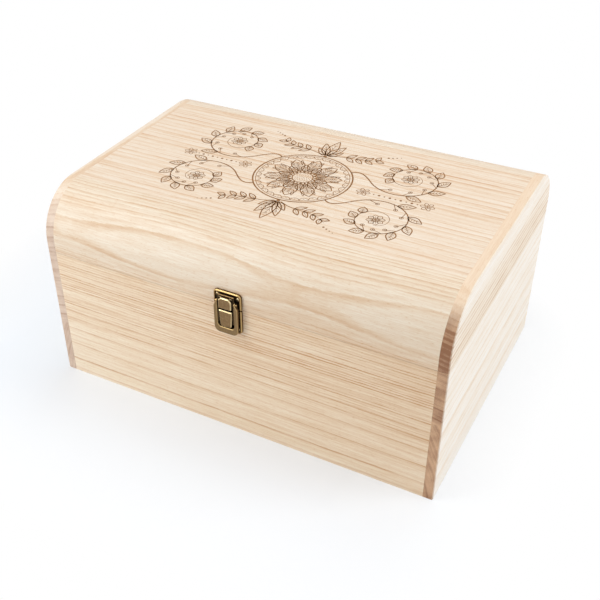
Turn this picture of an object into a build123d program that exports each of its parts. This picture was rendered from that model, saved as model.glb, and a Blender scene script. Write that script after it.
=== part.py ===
from build123d import *
import os
from math import radians, tan

# A wooden keepsake box with a flat-topped, round-shouldered lid, two stop hinges and a lever latch.
# Millimetres. Origin: centre of the underside. +X right, +Y to the back, +Z up, front face at -Y.

os.makedirs("parts", exist_ok=True)

# ---- box ----
BOX_WIDTH = 350.0
BOX_DEPTH = 248.0
SEAM_HEIGHT = 125.0
LID_WALL = 10.0
SHOULDER_RADIUS = 42.0
BOARD = 8.25
SEAM_GAP = 0.3
BOTTOM_THICKNESS = 5.0
REBATE = 4.0
BOTTOM_CLEARANCE = 0.2
EDGE_EASE = 0.7
LEFT_GLUE_LINE = 52.0
RIGHT_GLUE_LINE = 76.0

BOX_HEIGHT = SEAM_HEIGHT + LID_WALL + SHOULDER_RADIUS
HALF_WIDTH = BOX_WIDTH / 2
HALF_DEPTH = BOX_DEPTH / 2
INNER_WIDTH = BOX_WIDTH - 2 * BOARD
INNER_DEPTH = BOX_DEPTH - 2 * BOARD
BASE_TOP = SEAM_HEIGHT - SEAM_GAP / 2
LID_BOTTOM = SEAM_HEIGHT + SEAM_GAP / 2
TOP_BOARD_DEPTH = BOX_DEPTH - 2 * SHOULDER_RADIUS

# ---- nails: square shanks under low round heads ----
NAIL_CLEARANCE = 0.05
NAIL_CROWN = 0.55
LATCH_NAIL_SHANK = 1.0
LATCH_NAIL_HEAD = 1.2
LATCH_NAIL_RISE = 0.6
LATCH_NAIL_LENGTH = 7.0
HINGE_NAIL_SHANK = 1.3
HINGE_NAIL_HEAD = 1.7
HINGE_NAIL_RISE = 0.8
HINGE_NAIL_LENGTH = 6.5

# ---- latch: x across, u out from the front face, v up from the seam ----
PLATE_WIDTH = 24.0
PLATE_FIELD = 1.2
PLATE_RIM = 2.3
PLATE_RIM_WIDTH = 1.3
PLATE_RIM_BEVEL = 0.7
PLATE_CORNER = 3.2
PLATE_SEAM_CORNER = 0.8
PLATE_SEAM_GAP = 0.3
KEEPER_TOP = 14.3
BASE_PLATE_BOTTOM = 21.8
KEEPER_NAIL_X = 9.0
KEEPER_NAIL_V = 10.2
BASE_NAIL_X = 8.6
BASE_NAIL_V = 18.2
BOSS_RADIUS = 1.65
BOSS_RISE = 0.35

HOOK_HALF_WIDTH = 5.65
HOOK_FRONT = 6.7
HOOK_TOP = 11.0
HOOK_BOTTOM = 1.7
HOOK_SHEET = 1.0
HOOK_BEVEL = 0.7
HOOK_CORNER = 2.4
HOOK_CORNER_DEPTH = 2.0
HOOK_FOOT_BOTTOM = 2.5
HOOK_LEDGE_SLOPE = 4.0

PIVOT_U = 3.7
PIVOT_V = 5.6
PIN_RADIUS = 0.6
PIN_CLEARANCE = 0.05
EAR_INNER = 8.3
EAR_OUTER = 9.2
EAR_EYE = 1.1
PIVOT_HEAD = 0.95
PIVOT_HEAD_RISE = 0.35

LEVER_HALF_WIDTH = 10.4
LEVER_OPENING_HALF = 7.3
LEVER_BOTTOM = -22.2
LEVER_OPENING_BOTTOM = -16.6
LEVER_ARM_INNER_TOP = 7.9
LEVER_ARM_OUTER_TOP = 2.2
LEVER_FRONT = 5.8
LEVER_WALL = 0.8
LEVER_BACK = 3.4
LEVER_REST_BACK = 2.6
LEVER_REST_TOP = -18.5
LEVER_CORNER = 4.8
LEVER_OPENING_CORNER = 3.0
LEVER_EYE = 1.9
LEVER_EDGE = 0.45

LINK_PIVOT_U = 4.2
LINK_PIVOT_V = -11.4
LINK_STRIP_INNER = 6.3
LINK_STRIP_OUTER = 7.1
LINK_EYE = 1.2
LINK_BAR_RADIUS = 0.8
LINK_BAR_CLEARANCE = 0.1
LINK_PIN_HEAD = 0.95
LINK_PIN_HEAD_RISE = 0.3
LINK_BRIDGE_TOP = -4.5
LINK_BRIDGE_BOTTOM = -8.5
LINK_BRIDGE_BACK = 3.6
TONGUE_TOP = -1.0
TONGUE_BOTTOM = -15.8
TONGUE_TOP_HALF = 5.75
TONGUE_BOTTOM_HALF = 4.85
TONGUE_BACK = 5.0
TONGUE_FRONT = 6.0
TONGUE_CORNER = 2.0
TONGUE_EDGE = 0.6

# ---- hinges ----
HINGE_X = 95.0
HINGE_WIDTH = 26.0
HINGE_LEAF = 12.0
HINGE_SHEET = 1.0
HINGE_CORNER = 2.5
KNUCKLE_RADIUS = 2.0
KNUCKLE_WOOD_GAP = 0.2
KNUCKLE_MIDDLE = 8.4
KNUCKLE_GAP = 0.35
KNUCKLE_LEAF_GAP = 0.3
HINGE_PIN_RADIUS = 1.0
HINGE_PIN_CLEARANCE = 0.04
HINGE_NAIL_X = 8.5
HINGE_NAIL_OFFSET = 8.0
LID_OPEN_ANGLE = 100.0
STOP_WIDTH = 5.0
STOP_THICKNESS = 0.8
STOP_REACH = 3.4
STOP_GAP = 0.1

HINGE_AXIS_Y = HALF_DEPTH + KNUCKLE_WOOD_GAP + KNUCKLE_RADIUS
FRONT_PLANE = Plane(origin=(0, -HALF_DEPTH, SEAM_HEIGHT), x_dir=(1, 0, 0), z_dir=(0, -1, 0))
BACK_PLANE = Plane(origin=(0, HALF_DEPTH, SEAM_HEIGHT), x_dir=(-1, 0, 0), z_dir=(0, 1, 0))


# ---- general shapes ----
def block(x0, x1, y0, y1, z0, z1):
    centre = Pos((x0 + x1) / 2, (y0 + y1) / 2, (z0 + z1) / 2)
    return centre * Box(x1 - x0, y1 - y0, z1 - z0)


def rectangle(x0, x1, y0, y1):
    return Pos((x0 + x1) / 2, (y0 + y1) / 2) * Rectangle(x1 - x0, y1 - y0)


def polygon(*points):
    return make_face(Polyline(*points, close=True))


def mirrored_pair(shape):
    return [shape, mirror(shape, Plane.YZ)]


def from_front(sketch, u0, u1):
    """Latch outline drawn in (x, v), given depth from u0 to u1 out from the front face."""
    return extrude(FRONT_PLANE.offset(u0) * sketch, amount=u1 - u0)


def from_side(sketch, x0, x1):
    """Latch profile drawn in (u, v), given width from x0 to x1."""
    plane = Plane(origin=(x1, -HALF_DEPTH, SEAM_HEIGHT), x_dir=(0, -1, 0), z_dir=(-1, 0, 0))
    return extrude(plane * sketch, amount=x1 - x0)


def latch_rod(u, v, radius, x0, x1):
    return from_side(Pos(u, v) * Circle(radius), x0, x1)


def nail(shank, head, rise, length):
    """A nail along +Z whose head sits on the plane z = 0."""
    crown = Pos(0, 0, rise / 2) * Cone(head, head * NAIL_CROWN, rise)
    return crown + Pos(0, 0, -length / 2) * Box(shank, shank, length)


def nail_hole(shank, length):
    """The hole for one nail's shank, through its plate and on into the wood."""
    width = shank + 2 * NAIL_CLEARANCE
    return Pos(0, 0, -length / 2) * Box(width, width, length + 2 * NAIL_CLEARANCE)


def cut_all(shape, tools):
    for tool in tools:
        shape = shape - tool
    return shape


# ---- nail places ----
def latch_nail_places(nail_x, nail_v):
    """Two places on the bosses of a latch plate."""
    return [FRONT_PLANE * Pos(x, nail_v, PLATE_FIELD + BOSS_RISE) for x in (-nail_x, nail_x)]


def keeper_nail_places():
    return latch_nail_places(KEEPER_NAIL_X, KEEPER_NAIL_V)


def base_plate_nail_places():
    return latch_nail_places(BASE_NAIL_X, -BASE_NAIL_V)


def hinge_nail_places(side):
    """Four places on one pair of leaves: side is +1 on the lid and -1 on the base."""
    places = []
    for centre in (-HINGE_X, HINGE_X):
        for offset in (-HINGE_NAIL_X, HINGE_NAIL_X):
            places.append(BACK_PLANE * Pos(centre + offset, side * HINGE_NAIL_OFFSET, HINGE_SHEET))
    return places


def latch_nail_holes(places):
    return [place * nail_hole(LATCH_NAIL_SHANK, LATCH_NAIL_LENGTH) for place in places]


def hinge_nail_holes(side):
    return [place * nail_hole(HINGE_NAIL_SHANK, HINGE_NAIL_LENGTH) for place in hinge_nail_places(side)]


# ---- wood ----
def end_outline(z0, z1):
    """The end of the box between two heights, drawn in (y, z)."""
    whole = rectangle(-HALF_DEPTH, HALF_DEPTH, 0, BOX_HEIGHT)
    whole = fillet(whole.vertices().group_by(Axis.Y)[-1], SHOULDER_RADIUS)
    return whole & rectangle(-BOX_DEPTH, BOX_DEPTH, z0, z1)


def end_piece(side, z0, z1):
    """An end board or plank with its outer edges eased, and its sawn and glued edges sharp."""
    x0 = HALF_WIDTH - BOARD if side > 0 else -HALF_WIDTH
    piece = extrude(Plane.YZ.offset(x0) * end_outline(z0, z1), amount=BOARD)
    outer = piece.faces().sort_by(Axis.X)[-1 if side > 0 else 0]
    joints = [z for z in (z0, z1) if 0 < z < BOX_HEIGHT]
    eased = [edge for edge in outer.edges() if all(abs(edge.center().Z - z) > 0.01 for z in joints)]
    return chamfer(eased, EDGE_EASE)


def bottom_rebate():
    half_x = INNER_WIDTH / 2 + REBATE
    half_y = INNER_DEPTH / 2 + REBATE
    return block(-half_x, half_x, -half_y, half_y, 0, BOTTOM_THICKNESS)


def bottom_panel():
    half_x = INNER_WIDTH / 2 + REBATE - BOTTOM_CLEARANCE
    half_y = INNER_DEPTH / 2 + REBATE - BOTTOM_CLEARANCE
    return block(-half_x, half_x, -half_y, half_y, 0, BOTTOM_THICKNESS)


def base_long_board(side):
    """The front board (side -1) or the back board (side +1) between the ends."""
    y0, y1 = sorted((side * HALF_DEPTH, side * (HALF_DEPTH - BOARD)))
    return block(-INNER_WIDTH / 2, INNER_WIDTH / 2, y0, y1, 0, BASE_TOP) - bottom_rebate()


def shoulder(side):
    """A lid corner: a low straight wall that turns through a quarter round up to the top board."""
    outer_y = -HALF_DEPTH
    centre_y = outer_y + SHOULDER_RADIUS
    centre_z = BOX_HEIGHT - SHOULDER_RADIUS
    wall = rectangle(outer_y, outer_y + BOARD, LID_BOTTOM, centre_z)
    ring = Circle(SHOULDER_RADIUS) - Circle(SHOULDER_RADIUS - BOARD)
    quarter = (Pos(centre_y, centre_z) * ring) & rectangle(outer_y, centre_y, centre_z, BOX_HEIGHT)
    piece = extrude(Plane.YZ.offset(-INNER_WIDTH / 2) * (wall + quarter), amount=INNER_WIDTH)
    return piece if side < 0 else mirror(piece, Plane.XZ)


def top_board():
    half = TOP_BOARD_DEPTH / 2
    return block(-INNER_WIDTH / 2, INNER_WIDTH / 2, -half, half, BOX_HEIGHT - BOARD, BOX_HEIGHT)


# ---- latch ----
def latch_plate(far, nail_x, nail_v):
    """A stamped plate above the seam, with a raised rim on three sides and two nail bosses."""
    half = PLATE_WIDTH / 2
    outline = rectangle(-half, half, PLATE_SEAM_GAP, far)
    outline = fillet(outline.vertices().group_by(Axis.Y)[-1], PLATE_CORNER)
    outline = fillet(outline.vertices().group_by(Axis.Y)[0], PLATE_SEAM_CORNER)
    plate = from_front(outline, 0, PLATE_RIM)
    plate = chamfer(plate.faces().sort_by(Axis.Y)[0].outer_wire().edges(), PLATE_RIM_BEVEL)
    field_half = half - PLATE_RIM_WIDTH
    field = rectangle(-field_half, field_half, 0, far - PLATE_RIM_WIDTH)
    field = fillet(field.vertices().group_by(Axis.Y)[-1], PLATE_CORNER - PLATE_RIM_WIDTH)
    plate = plate - from_front(field, PLATE_FIELD, PLATE_RIM)
    boss = Pos(nail_x, nail_v) * Circle(BOSS_RADIUS)
    for one in mirrored_pair(from_front(boss, 0, PLATE_FIELD + BOSS_RISE)):
        plate = plate + one
    return plate


def ear_profile():
    neck = polygon(
        (PLATE_FIELD - 0.1, -9.5),
        (PLATE_FIELD - 0.1, -2.5),
        (PIVOT_U - EAR_EYE, PIVOT_V - 3.6),
        (PIVOT_U - EAR_EYE, PIVOT_V),
        (PIVOT_U + EAR_EYE, PIVOT_V),
        (PIVOT_U + EAR_EYE * 0.8, -4.0),
    )
    return neck + Pos(PIVOT_U, PIVOT_V) * Circle(EAR_EYE)


def latch_base_plate():
    """The plate on the base, with two ears that reach up past the seam and carry the lever."""
    plate = mirror(latch_plate(BASE_PLATE_BOTTOM, BASE_NAIL_X, BASE_NAIL_V), Plane.XY.offset(SEAM_HEIGHT))
    plate = cut_all(plate, latch_nail_holes(base_plate_nail_places()))
    ear = from_side(ear_profile(), EAR_INNER, EAR_OUTER)
    ear = ear - latch_rod(PIVOT_U, PIVOT_V, PIN_RADIUS, EAR_INNER, EAR_OUTER)
    for one in mirrored_pair(ear):
        plate = plate + one
    return plate


def pivot_pins():
    """One pin a side: fast in the ear, running in the eye of the lever's inner flange."""
    inner_end = LEVER_OPENING_HALF + PIN_CLEARANCE
    pin = latch_rod(PIVOT_U, PIVOT_V, PIN_RADIUS, inner_end, EAR_OUTER)
    pin = pin + latch_rod(PIVOT_U, PIVOT_V, PIVOT_HEAD, EAR_OUTER, EAR_OUTER + PIVOT_HEAD_RISE)
    return mirrored_pair(pin)


def keeper_plate():
    plate = latch_plate(KEEPER_TOP, KEEPER_NAIL_X, KEEPER_NAIL_V)
    return cut_all(plate, latch_nail_holes(keeper_nail_places()))


def ledge_height(u):
    """Height of the hook's upper face, which rises slightly outwards so that the bar can't slip off."""
    return HOOK_TOP - (HOOK_FRONT - u) * tan(radians(HOOK_LEDGE_SLOPE))


def keeper_hook():
    """A folded strip: a foot on the plate, a ledge for the link's bar, and a bevelled face."""
    back = PLATE_FIELD
    inner_front = HOOK_FRONT - HOOK_SHEET
    profile = polygon(
        (back, HOOK_FOOT_BOTTOM),
        (back, ledge_height(back)),
        (HOOK_FRONT, HOOK_TOP),
        (HOOK_FRONT, HOOK_BOTTOM),
        (inner_front, HOOK_BOTTOM),
        (inner_front, ledge_height(inner_front) - HOOK_SHEET),
        (back + HOOK_SHEET, ledge_height(back + HOOK_SHEET) - HOOK_SHEET),
        (back + HOOK_SHEET, HOOK_FOOT_BOTTOM),
    )
    hook = from_side(profile, -HOOK_HALF_WIDTH, HOOK_HALF_WIDTH)
    corner = polygon(
        (HOOK_HALF_WIDTH, HOOK_TOP),
        (HOOK_HALF_WIDTH - HOOK_CORNER, HOOK_TOP),
        (HOOK_HALF_WIDTH, HOOK_TOP - HOOK_CORNER),
    )
    for one in mirrored_pair(from_front(corner, HOOK_FRONT - HOOK_CORNER_DEPTH, HOOK_FRONT)):
        hook = hook - one
    face_edges = hook.faces().sort_by(Axis.Y)[0].edges().sort_by(Axis.Z)
    return chamfer(face_edges[1:], HOOK_BEVEL)


def lever_outline():
    half = LEVER_HALF_WIDTH
    opening_half = LEVER_OPENING_HALF
    outer = rectangle(-half, half, LEVER_BOTTOM, LEVER_ARM_INNER_TOP)
    outer = fillet(outer.vertices().group_by(Axis.Y)[0], LEVER_CORNER)
    opening = rectangle(-opening_half, opening_half, LEVER_OPENING_BOTTOM, LEVER_ARM_INNER_TOP + 1)
    opening = fillet(opening.vertices().group_by(Axis.Y)[0], LEVER_OPENING_CORNER)
    slope = polygon(
        (opening_half, LEVER_ARM_INNER_TOP),
        (half, LEVER_ARM_OUTER_TOP),
        (half, LEVER_ARM_INNER_TOP),
    )
    return outer - opening - slope - mirror(slope, Plane.YZ)


def lever_hollow_outline():
    half = LEVER_HALF_WIDTH - LEVER_WALL
    opening_half = LEVER_OPENING_HALF + LEVER_WALL
    outer = rectangle(-half, half, LEVER_BOTTOM + LEVER_WALL, LEVER_ARM_INNER_TOP + 2)
    outer = fillet(outer.vertices().group_by(Axis.Y)[0], LEVER_CORNER - LEVER_WALL)
    opening_bottom = LEVER_OPENING_BOTTOM - LEVER_WALL
    opening = rectangle(-opening_half, opening_half, opening_bottom, LEVER_ARM_INNER_TOP + 3)
    opening = fillet(opening.vertices().group_by(Axis.Y)[0], LEVER_OPENING_CORNER + LEVER_WALL)
    return outer - opening


def lever_side_profile():
    """Straight flanges, a deeper foot that rests by the base plate, and a quarter roll at the pivot."""
    flange = polygon(
        (LEVER_REST_BACK, LEVER_BOTTOM),
        (LEVER_FRONT, LEVER_BOTTOM),
        (LEVER_FRONT, PIVOT_V),
        (LEVER_BACK, PIVOT_V),
        (LEVER_BACK, LEVER_REST_TOP + 2),
        (LEVER_REST_BACK, LEVER_REST_TOP),
    )
    roll = Pos(PIVOT_U, PIVOT_V) * Circle(LEVER_FRONT - PIVOT_U)
    return flange + (roll & rectangle(PIVOT_U, LEVER_FRONT, PIVOT_V, LEVER_ARM_INNER_TOP + 1))


def lever_hollow_profile():
    inner = LEVER_FRONT - LEVER_WALL
    hollow = rectangle(0, inner, LEVER_BOTTOM, PIVOT_V)
    return hollow + Pos(PIVOT_U, PIVOT_V) * Circle(inner - PIVOT_U)


def lever():
    """A hollow stamped frame with two arms, hung by the eyes of its inner flanges."""
    span = LEVER_HALF_WIDTH + 1
    frame = from_front(lever_outline(), 0, LEVER_FRONT)
    front_edges = frame.faces().sort_by(Axis.Y)[0].edges()
    body = chamfer(front_edges, LEVER_EDGE) & from_side(lever_side_profile(), -span, span)
    hollow = from_front(lever_hollow_outline(), 0, LEVER_FRONT + 1)
    body = body - (hollow & from_side(lever_hollow_profile(), -span, span))
    flange_outer = LEVER_OPENING_HALF + LEVER_WALL
    eye = latch_rod(PIVOT_U, PIVOT_V, LEVER_EYE, LEVER_OPENING_HALF, flange_outer)
    for one in mirrored_pair(eye):
        body = body + one
    pivot = latch_rod(PIVOT_U, PIVOT_V, PIN_RADIUS + PIN_CLEARANCE, LEVER_OPENING_HALF, flange_outer)
    link = latch_rod(LINK_PIVOT_U, LINK_PIVOT_V, PIN_RADIUS, LEVER_OPENING_HALF, flange_outer)
    return cut_all(body, mirrored_pair(pivot) + mirrored_pair(link))


def link_bar_height():
    return ledge_height(PIVOT_U) + LINK_BAR_RADIUS + LINK_BAR_CLEARANCE


def link_loop():
    """Two side strips joined by a round top bar that lies over the keeper's ledge, and by a bridge."""
    bar_v = link_bar_height()
    strip = make_hull(
        (Pos(LINK_PIVOT_U, LINK_PIVOT_V) * Circle(LINK_EYE)).edges()
        + (Pos(PIVOT_U, bar_v) * Circle(LINK_BAR_RADIUS * 0.8)).edges()
    )
    side = from_side(strip, LINK_STRIP_INNER, LINK_STRIP_OUTER)
    loop = latch_rod(PIVOT_U, bar_v, LINK_BAR_RADIUS, -LINK_STRIP_OUTER, LINK_STRIP_OUTER)
    for one in mirrored_pair(side):
        loop = loop + one
    bridge = rectangle(-LINK_STRIP_OUTER, LINK_STRIP_OUTER, LINK_BRIDGE_BOTTOM, LINK_BRIDGE_TOP)
    loop = loop + from_front(bridge, LINK_BRIDGE_BACK, TONGUE_BACK)
    hole_radius = PIN_RADIUS + PIN_CLEARANCE
    hole = latch_rod(LINK_PIVOT_U, LINK_PIVOT_V, hole_radius, LINK_STRIP_INNER, LINK_STRIP_OUTER)
    return cut_all(loop, mirrored_pair(hole))


def link_tongue():
    """The tapering plate on the link's face, which carries the keeper's face on down the latch."""
    outline = polygon(
        (-TONGUE_TOP_HALF, TONGUE_TOP),
        (TONGUE_TOP_HALF, TONGUE_TOP),
        (TONGUE_BOTTOM_HALF, TONGUE_BOTTOM),
        (-TONGUE_BOTTOM_HALF, TONGUE_BOTTOM),
    )
    outline = fillet(outline.vertices().group_by(Axis.Y)[0], TONGUE_CORNER)
    tongue = from_front(outline, TONGUE_BACK, TONGUE_FRONT)
    return chamfer(tongue.faces().sort_by(Axis.Y)[0].edges(), TONGUE_EDGE)


def link_pins():
    """One pin a side: fast in the lever's inner flange, running in the link's strip."""
    flange_outer = LEVER_OPENING_HALF + LEVER_WALL
    head_outer = LINK_STRIP_INNER - PIN_CLEARANCE
    pin = latch_rod(LINK_PIVOT_U, LINK_PIVOT_V, PIN_RADIUS, head_outer, flange_outer)
    head = latch_rod(LINK_PIVOT_U, LINK_PIVOT_V, LINK_PIN_HEAD, head_outer - LINK_PIN_HEAD_RISE, head_outer)
    return mirrored_pair(pin + head)


# ---- hinges ----
def hinge_rod(radius, x0, x1):
    plane = Plane(origin=(x0, HINGE_AXIS_Y, SEAM_HEIGHT), x_dir=(0, 1, 0), z_dir=(1, 0, 0))
    return extrude(plane * Circle(radius), amount=x1 - x0)


def leaf_plate(side):
    """The flat of one leaf about x = 0, with its far corners rounded."""
    near = KNUCKLE_RADIUS + KNUCKLE_LEAF_GAP
    v0, v1 = sorted((side * near, side * HINGE_LEAF))
    outline = rectangle(-HINGE_WIDTH / 2, HINGE_WIDTH / 2, v0, v1)
    outline = fillet(outline.vertices().group_by(Axis.Y)[-1 if side > 0 else 0], HINGE_CORNER)
    return extrude(BACK_PLANE * outline, amount=HINGE_SHEET)


def leaf_web(side, x0, x1):
    """The part of a leaf that runs on to its knuckle."""
    near = SEAM_GAP / 2
    v0, v1 = sorted((side * near, side * (KNUCKLE_RADIUS + KNUCKLE_LEAF_GAP)))
    y0, y1 = HALF_DEPTH, HALF_DEPTH + HINGE_SHEET
    return block(x0, x1, y0, y1, SEAM_HEIGHT + v0, SEAM_HEIGHT + v1)


def stop_finger():
    """A finger on the middle knuckle. Drawn with the lid open, where it meets the base leaf."""
    y0 = HALF_DEPTH + HINGE_SHEET + STOP_GAP
    z1 = SEAM_HEIGHT - KNUCKLE_RADIUS * 0.8
    finger = block(-STOP_WIDTH / 2, STOP_WIDTH / 2, y0, y0 + STOP_THICKNESS, SEAM_HEIGHT - STOP_REACH, z1)
    axis = Axis((0, HINGE_AXIS_Y, SEAM_HEIGHT), (1, 0, 0))
    return finger.rotate(axis, LID_OPEN_ANGLE)


def base_leaf():
    leaf = leaf_plate(-1)
    inner = KNUCKLE_MIDDLE / 2 + KNUCKLE_GAP
    outer = HINGE_WIDTH / 2
    for x0, x1 in ((-outer, -inner), (inner, outer)):
        leaf = leaf + leaf_web(-1, x0, x1) + hinge_rod(KNUCKLE_RADIUS, x0, x1)
    return leaf - hinge_rod(HINGE_PIN_RADIUS, -outer, outer)


def lid_leaf():
    half = KNUCKLE_MIDDLE / 2
    leaf = leaf_plate(1) + leaf_web(1, -half, half) + hinge_rod(KNUCKLE_RADIUS, -half, half) + stop_finger()
    return leaf - hinge_rod(HINGE_PIN_RADIUS + HINGE_PIN_CLEARANCE, -half, half)


def hinge_pin():
    return hinge_rod(HINGE_PIN_RADIUS, -HINGE_WIDTH / 2, HINGE_WIDTH / 2)


def nailed_leaf(leaf, centre, side):
    return cut_all(Pos(centre, 0, 0) * leaf, hinge_nail_holes(side))


def hinge_nails(side):
    one = nail(HINGE_NAIL_SHANK, HINGE_NAIL_HEAD, HINGE_NAIL_RISE, HINGE_NAIL_LENGTH)
    return [place * one for place in hinge_nail_places(side)]


def latch_nails(places):
    one = nail(LATCH_NAIL_SHANK, LATCH_NAIL_HEAD, LATCH_NAIL_RISE, LATCH_NAIL_LENGTH)
    return [place * one for place in places]


def group(solids):
    return Compound(children=[solid for item in solids for solid in item.solids()])


def single(shape):
    solids = shape.solids()
    assert len(solids) == 1, len(solids)
    return solids[0]


nodes = {
    "base_front_board": single(cut_all(base_long_board(-1), latch_nail_holes(base_plate_nail_places()))),
    "base_back_board": single(cut_all(base_long_board(1), hinge_nail_holes(-1))),
    "base_left_plank_lower": single(end_piece(-1, 0, LEFT_GLUE_LINE) - bottom_rebate()),
    "base_left_plank_upper": single(end_piece(-1, LEFT_GLUE_LINE, BASE_TOP)),
    "base_right_plank_lower": single(end_piece(1, 0, RIGHT_GLUE_LINE) - bottom_rebate()),
    "base_right_plank_upper": single(end_piece(1, RIGHT_GLUE_LINE, BASE_TOP)),
    "base_bottom_panel": single(bottom_panel()),
    "lid_front_shoulder": single(cut_all(shoulder(-1), latch_nail_holes(keeper_nail_places()))),
    "lid_back_shoulder": single(cut_all(shoulder(1), hinge_nail_holes(1))),
    "lid_top_board": single(top_board()),
    "lid_left_end": single(end_piece(-1, LID_BOTTOM, BOX_HEIGHT)),
    "lid_right_end": single(end_piece(1, LID_BOTTOM, BOX_HEIGHT)),
    "latch_base_plate": single(latch_base_plate()),
    "latch_base_nails": group(latch_nails(base_plate_nail_places())),
    "latch_pivot_pins": group(pivot_pins()),
    "latch_keeper_plate": single(keeper_plate()),
    "latch_keeper_hook": single(keeper_hook()),
    "latch_keeper_nails": group(latch_nails(keeper_nail_places())),
    "latch_lever": single(lever()),
    "latch_link_pins": group(link_pins()),
    "latch_link_loop": single(link_loop()),
    "latch_link_tongue": single(link_tongue()),
    "hinge_base_leaf_left": single(nailed_leaf(base_leaf(), -HINGE_X, -1)),
    "hinge_base_leaf_right": single(nailed_leaf(base_leaf(), HINGE_X, -1)),
    "hinge_pin_left": single(Pos(-HINGE_X, 0, 0) * hinge_pin()),
    "hinge_pin_right": single(Pos(HINGE_X, 0, 0) * hinge_pin()),
    "hinge_base_nails": group(hinge_nails(-1)),
    "hinge_lid_leaf_left": single(nailed_leaf(lid_leaf(), -HINGE_X, 1)),
    "hinge_lid_leaf_right": single(nailed_leaf(lid_leaf(), HINGE_X, 1)),
    "hinge_lid_nails": group(hinge_nails(1)),
}

for name, shape in nodes.items():
    export_step(shape, f"parts/{name}.step")
    print(name, len(shape.solids()), round(shape.volume, 2))
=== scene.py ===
import math

import bmesh
import bpy
from mathutils import Matrix, Vector


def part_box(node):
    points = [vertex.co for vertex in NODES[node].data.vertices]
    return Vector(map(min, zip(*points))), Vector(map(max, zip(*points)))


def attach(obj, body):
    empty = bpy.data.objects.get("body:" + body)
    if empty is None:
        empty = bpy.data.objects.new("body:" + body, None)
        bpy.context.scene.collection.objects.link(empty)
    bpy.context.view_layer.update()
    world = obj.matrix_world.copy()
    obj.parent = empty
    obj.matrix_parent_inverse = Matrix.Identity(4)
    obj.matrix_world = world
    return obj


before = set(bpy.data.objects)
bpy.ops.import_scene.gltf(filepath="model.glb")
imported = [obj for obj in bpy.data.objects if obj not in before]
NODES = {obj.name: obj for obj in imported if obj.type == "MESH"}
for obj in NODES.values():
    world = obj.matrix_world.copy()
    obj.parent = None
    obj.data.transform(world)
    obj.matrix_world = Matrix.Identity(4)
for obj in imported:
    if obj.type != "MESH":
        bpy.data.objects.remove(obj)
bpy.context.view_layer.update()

# A wooden keepsake box with an antique bronze lever latch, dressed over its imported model.
# Blender works in metres. Materials and ornament are laid out in millimetres.
MM = 0.001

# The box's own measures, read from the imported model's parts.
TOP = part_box("lid_top_board")[1][2]
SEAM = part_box("lid_front_shoulder")[0][2]
HALF_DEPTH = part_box("base_back_board")[1][1]
HALF_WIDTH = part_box("lid_right_end")[1][0]
FLAT_TOP_HALF_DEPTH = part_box("lid_top_board")[1][1]
SHOULDER_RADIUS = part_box("lid_left_end")[1][1] - FLAT_TOP_HALF_DEPTH


def srgb(red, green, blue):
    """A colour given in 8-bit display values, as Blender's linear RGBA."""
    channels = []
    for value in (red, green, blue):
        share = value / 255
        linear = share / 12.92 if share <= 0.04045 else ((share + 0.055) / 1.055) ** 2.4
        channels.append(linear)
    return (*channels, 1.0)


# ---- camera: the photograph's viewpoint, in pixels, degrees and metres ----
PICTURE = 600
FOCAL_PIXELS = 926.32
CENTRE_PIXEL = (262.0, 317.05)
SENSOR_WIDTH = 36
CAMERA_AZIMUTH = 29.602
CAMERA_ELEVATION = 36.338
CAMERA_ROLL = -1.345
CAMERA_DISTANCE = 0.81486
CAMERA_TARGET = Vector((-0.01974, -0.03869, 0.0525))
CAMERA_CLIP_START = 0.02

# ---- light ----
WHITE = (1, 1, 1, 1)
SKY_LEVEL = 0.4
LAMP_AIM = Vector((0, 0, 0.1))
# Each lamp's name, place, width in metres and power in watts.
LAMPS = [
    ("top_light", (0.1, 0.3, 1.8), 1.2, 4.8),
    ("back_light", (0.0, 1.2, 1.5), 1.2, 3.0),
    ("near_left_light", (-0.65, -0.75, 0.35), 0.5, 2.5),
    ("high_left_light", (-0.9, -0.7, 1.5), 0.9, 9.8),
    ("right_light", (1.5, 0.4, 0.9), 1.0, 10.9),
    ("right_front_light", (1.3, -0.5, 0.9), 0.8, 1.8),
]

# ---- floor: mostly shown as it is lit beside the box, and plain white beyond the lit reach ----
FLOOR_SIZE = 12.0
FLOOR_COLOUR = srgb(242, 247, 253)
FLOOR_SHOWN_AS_LIT = 0.9
FLOOR_LIT_REACH = 0.12
FLOOR_LIT_CENTRE = (-0.07, -0.04)

# ---- colours of the wood: pale, middle and dark, and for end grain pale and dark ----
FRONT_TONES = (srgb(247, 233, 210), srgb(228, 199, 165), srgb(194, 139, 88))
LID_TONES = (srgb(240, 229, 211), srgb(223, 196, 165), srgb(196, 143, 95))
TOP_TONES = (srgb(240, 227, 210), srgb(227, 200, 170), srgb(200, 148, 104))
RIM_TONES = (srgb(240, 219, 194), srgb(226, 194, 159), srgb(192, 144, 102))
# The end boards' faces are painted paler than their wood, as painted light standing in for strong
# light from the right.
PALE_LIT_END_TONES = (srgb(244, 238, 230), srgb(234, 218, 197), srgb(206, 172, 136))
LEFT_CUT = (srgb(228, 207, 187), srgb(188, 155, 132))
RIGHT_CUT = (srgb(212, 171, 134), srgb(144, 98, 66))
MIDDLE_TONE = 0.4

# ---- colours of the engraving and of the metal ----
BURNT_DARK = srgb(124, 84, 50)
BURNT_MIDDLE = srgb(148, 106, 68)
BURNT_PALE = srgb(172, 130, 90)
BLACKENED = srgb(34, 27, 20)
GOLD = srgb(198, 166, 112)
CREAM = srgb(226, 204, 158)
OLIVE = srgb(184, 156, 108)


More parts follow.
